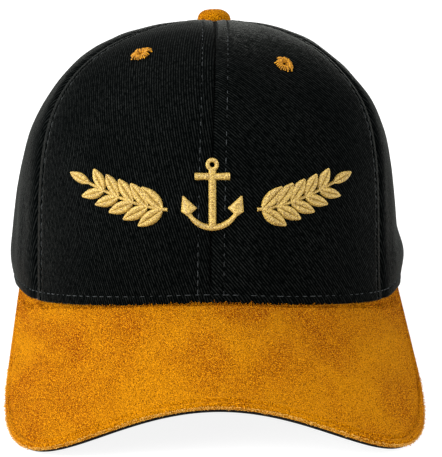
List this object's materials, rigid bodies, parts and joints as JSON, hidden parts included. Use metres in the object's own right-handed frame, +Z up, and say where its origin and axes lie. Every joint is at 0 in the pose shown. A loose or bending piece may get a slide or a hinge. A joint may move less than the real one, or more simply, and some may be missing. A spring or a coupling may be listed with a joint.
{
  "type": "captain's baseball cap",
  "caption": "Black cotton twill baseball-style captain's cap with an arched suede peak, covered button, stitched eyelets, adjustable back strap and a raised anchor and laurel emblem.",
  "frame": {"origin": "centre of the bounding box's bottom, on the surface that the cap rests on", "axes": "+Z up, -Y towards the front of the peak, +X to the right as seen from in front; the cap lies tipped back on the lobes of its peak and its back rim"},
  "size_m": [0.1698, 0.2648, 0.1351],
  "materials": {
    "twill": "brushed black cotton twill, matt",
    "lining": "plain black cotton, matt",
    "suede": "tan suede with a short nap",
    "amber_thread": "amber embroidery thread, satin",
    "gold_thread": "gold rayon embroidery thread, silky"
  },
  "bodies": {
    "root": {"panel_front_left": "twill", "panel_front_right": "twill", "panel_side_left": "twill", "panel_side_right": "twill", "panel_back_left": "twill", "panel_back_right": "twill", "peak_suede": "suede", "peak_underside": "lining", "button": "suede", "eyelet_front_left": "amber_thread", "eyelet_front_right": "amber_thread", "eyelet_side_left": "amber_thread", "eyelet_side_right": "amber_thread", "eyelet_back_left": "amber_thread", "eyelet_back_right": "amber_thread", "sweatband": "lining", "strap_tab_left": "twill", "strap_tab_right": "twill", "anchor": "gold_thread", "laurel_left": "gold_thread", "laurel_right": "gold_thread"}
  },
  "joints": []
}
